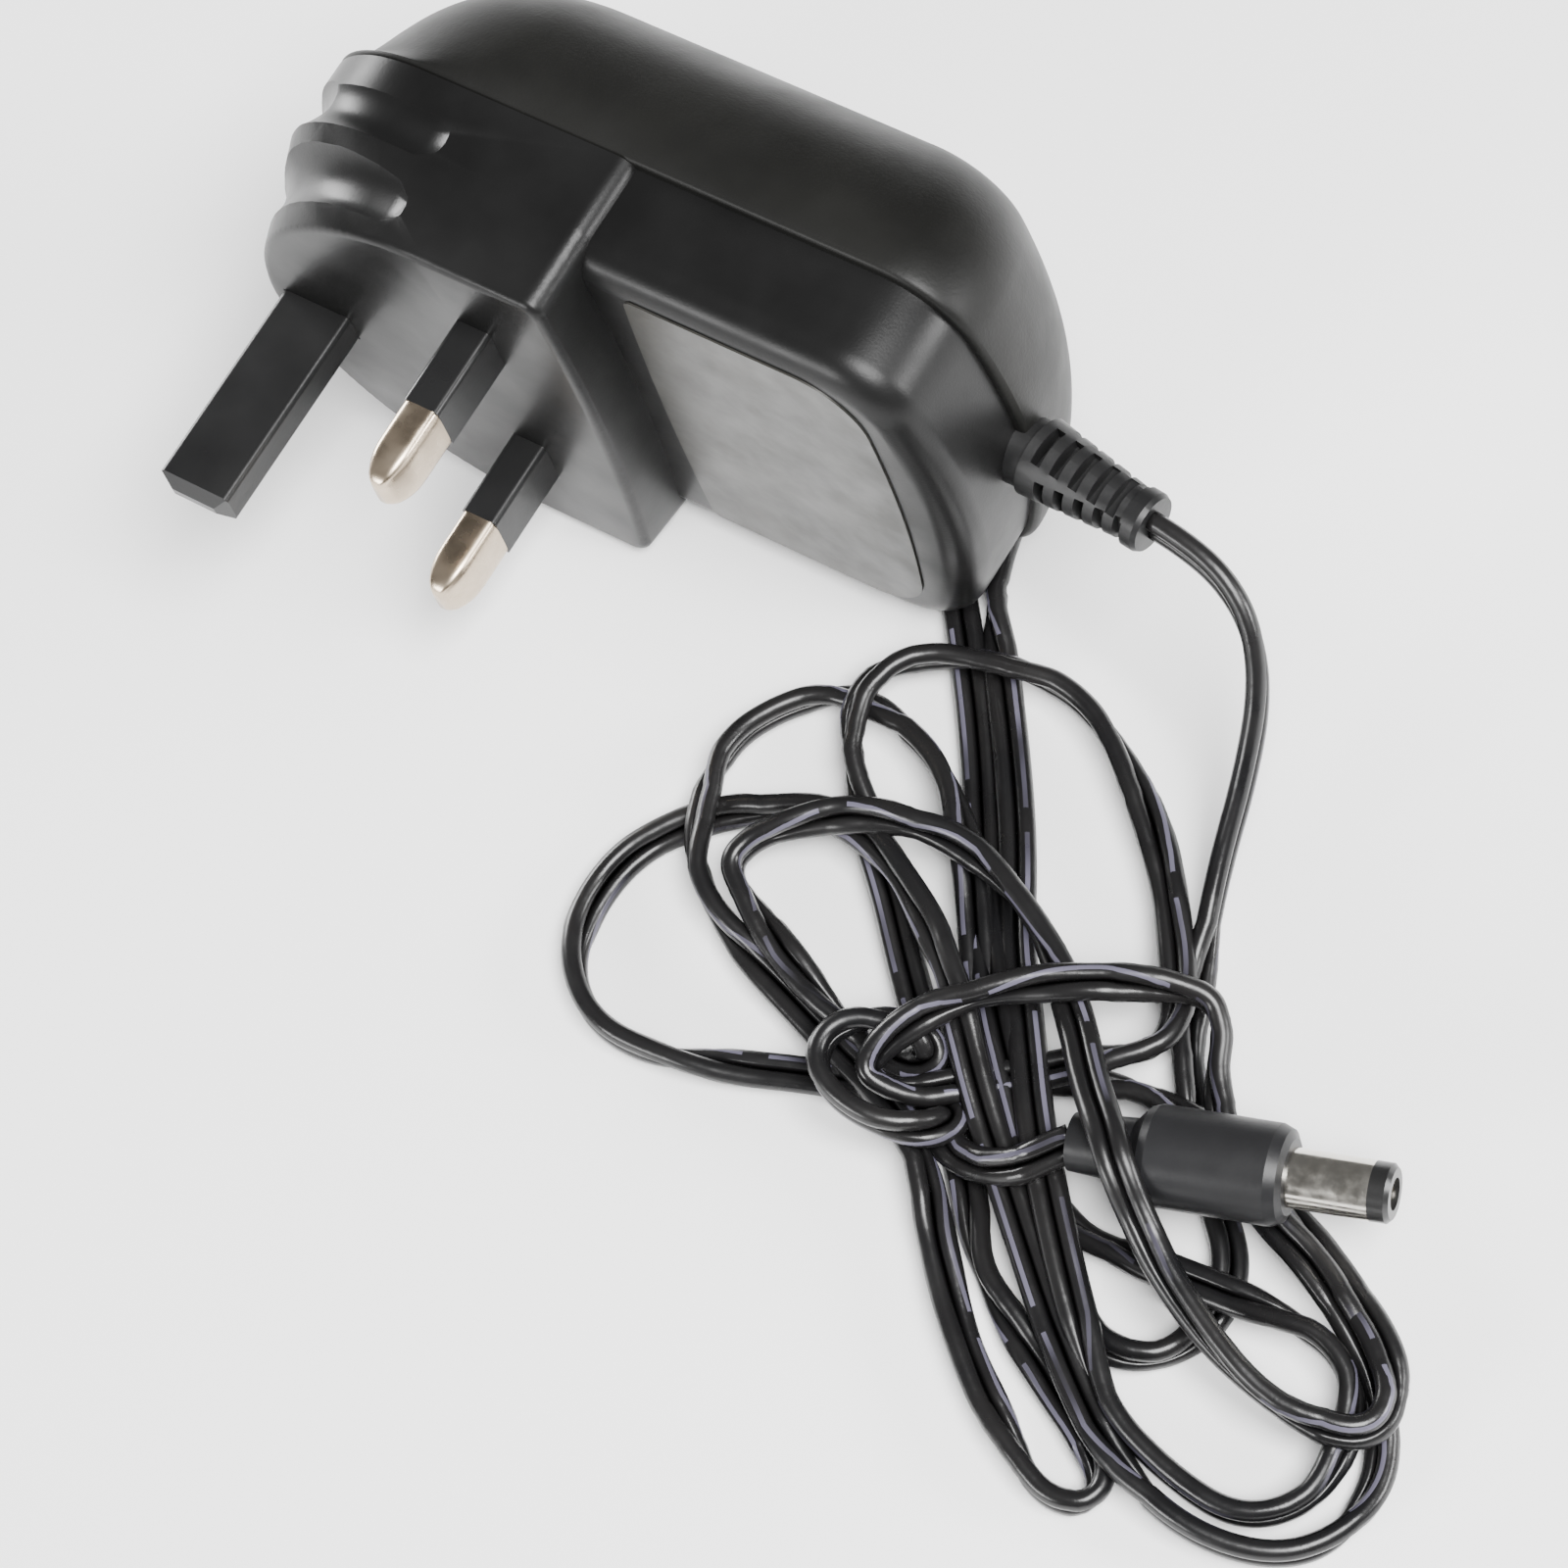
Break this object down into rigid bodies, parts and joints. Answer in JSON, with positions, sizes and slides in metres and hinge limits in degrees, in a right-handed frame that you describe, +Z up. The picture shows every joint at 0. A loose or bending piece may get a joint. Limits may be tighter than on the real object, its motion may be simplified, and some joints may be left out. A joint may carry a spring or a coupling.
{
  "type": "plug-in power adapter",
  "caption": "Wall plug power adapter in a domed black case, with a moulded strain relief, a bundled two-core lead and a round barrel plug.",
  "frame": {"origin": "on the table, under the middle of the adapter's box, measured without the lead and its plug", "axes": "+X along the case from the earth pin towards the lead, -Y the way the mains pins point, +Z up; the adapter lies on its side"},
  "size_m": [0.1504, 0.1033, 0.0504],
  "materials": {
    "case_black": "fine matt texture",
    "case_black_back": "fine matt texture",
    "label_grey": "silver-grey foil label, satin, blank",
    "pin_black": "smooth satin plastic",
    "pin_metal": "nickel-plated brass, satin",
    "contact_brass": "stamped strip",
    "board_green": "solder-masked laminate",
    "resistor_coat": "painted coat",
    "ferrite": "sintered ferrite",
    "chip_black": "moulded package",
    "can_sleeve": "shrink sleeve",
    "bobbin_black": "moulded bobbin",
    "winding_tape": "yellow tape over copper wire",
    "disc_blue": "dipped coat",
    "relief_black": "soft moulded PVC, satin",
    "lead_black": "glossy PVC insulation with one pale dashed stripe",
    "plug_black": "soft moulded PVC, satin",
    "barrel_metal": "bright nickel plate",
    "insulator_black": "smooth moulding",
    "contact_metal": "bright nickel plate"
  },
  "bodies": {
    "root": {"front_shell": "case_black", "back_shell": "case_black_back", "label": "label_grey", "earth_pin": "pin_black", "live_pin": "pin_metal", "neutral_pin": "pin_metal", "live_sleeve": "pin_black", "neutral_sleeve": "pin_black", "live_contact": "contact_brass", "neutral_contact": "contact_brass", "circuit_board": "board_green", "fuse_resistor": "resistor_coat", "input_choke": "ferrite", "rectifier_diodes": "chip_black", "bulk_capacitors": "can_sleeve", "transformer_core": "ferrite", "transformer_bobbin": "bobbin_black", "transformer_winding": "winding_tape", "switching_chip": "chip_black", "y_capacitor": "disc_blue", "opto_coupler": "chip_black", "output_diode": "chip_black", "output_capacitor": "can_sleeve", "strain_relief": "relief_black", "cord_lead": "lead_black", "cord_hank": "lead_black", "plug_handle": "plug_black", "plug_barrel": "barrel_metal", "plug_insulator": "insulator_black", "plug_contact": "contact_metal"}
  },
  "joints": []
}
